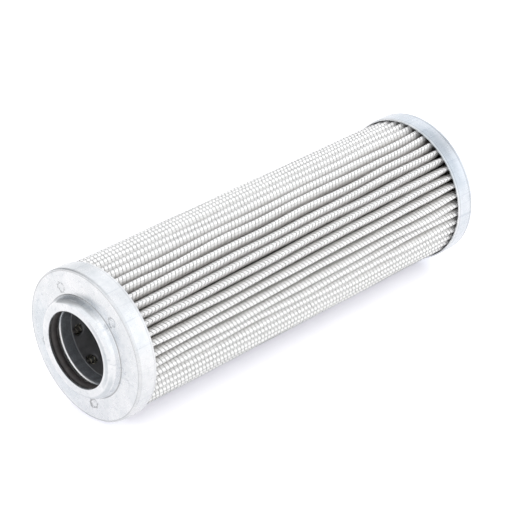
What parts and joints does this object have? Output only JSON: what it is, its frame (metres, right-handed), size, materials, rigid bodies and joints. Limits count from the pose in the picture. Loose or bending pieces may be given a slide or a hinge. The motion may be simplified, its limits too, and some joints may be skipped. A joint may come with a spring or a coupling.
{
  "type": "hydraulic filter element",
  "caption": "Pleated wire-mesh pressure filter cartridge with zinc-plated end caps, perforated core and a sealed spigot bore in a raised collar.",
  "frame": {"origin": "centre of the closed end cap's flat outer face", "axes": "+Z along the core, from the closed end to the open end with the collar"},
  "size_m": [0.052, 0.052, 0.1587],
  "materials": {
    "zinc_plated_steel": "bright zinc plating, satin",
    "carrier_steel": "smooth drawn steel",
    "seal_rubber": "satin black",
    "core_steel": "plain rolled sheet",
    "mesh_wire": "bright woven wire",
    "filter_fleece": "matt fibrous",
    "inner_wire": "bright woven wire",
    "potting_resin": "cured resin"
  },
  "bodies": {
    "root": {"closed_end_cap": "zinc_plated_steel", "open_end_cap": "zinc_plated_steel", "seal_carrier": "carrier_steel", "bore_seal": "seal_rubber", "core_tube": "core_steel", "outer_mesh": "mesh_wire", "filter_media": "filter_fleece", "inner_mesh": "inner_wire", "closed_end_potting": "potting_resin", "open_end_potting": "potting_resin"}
  },
  "joints": []
}
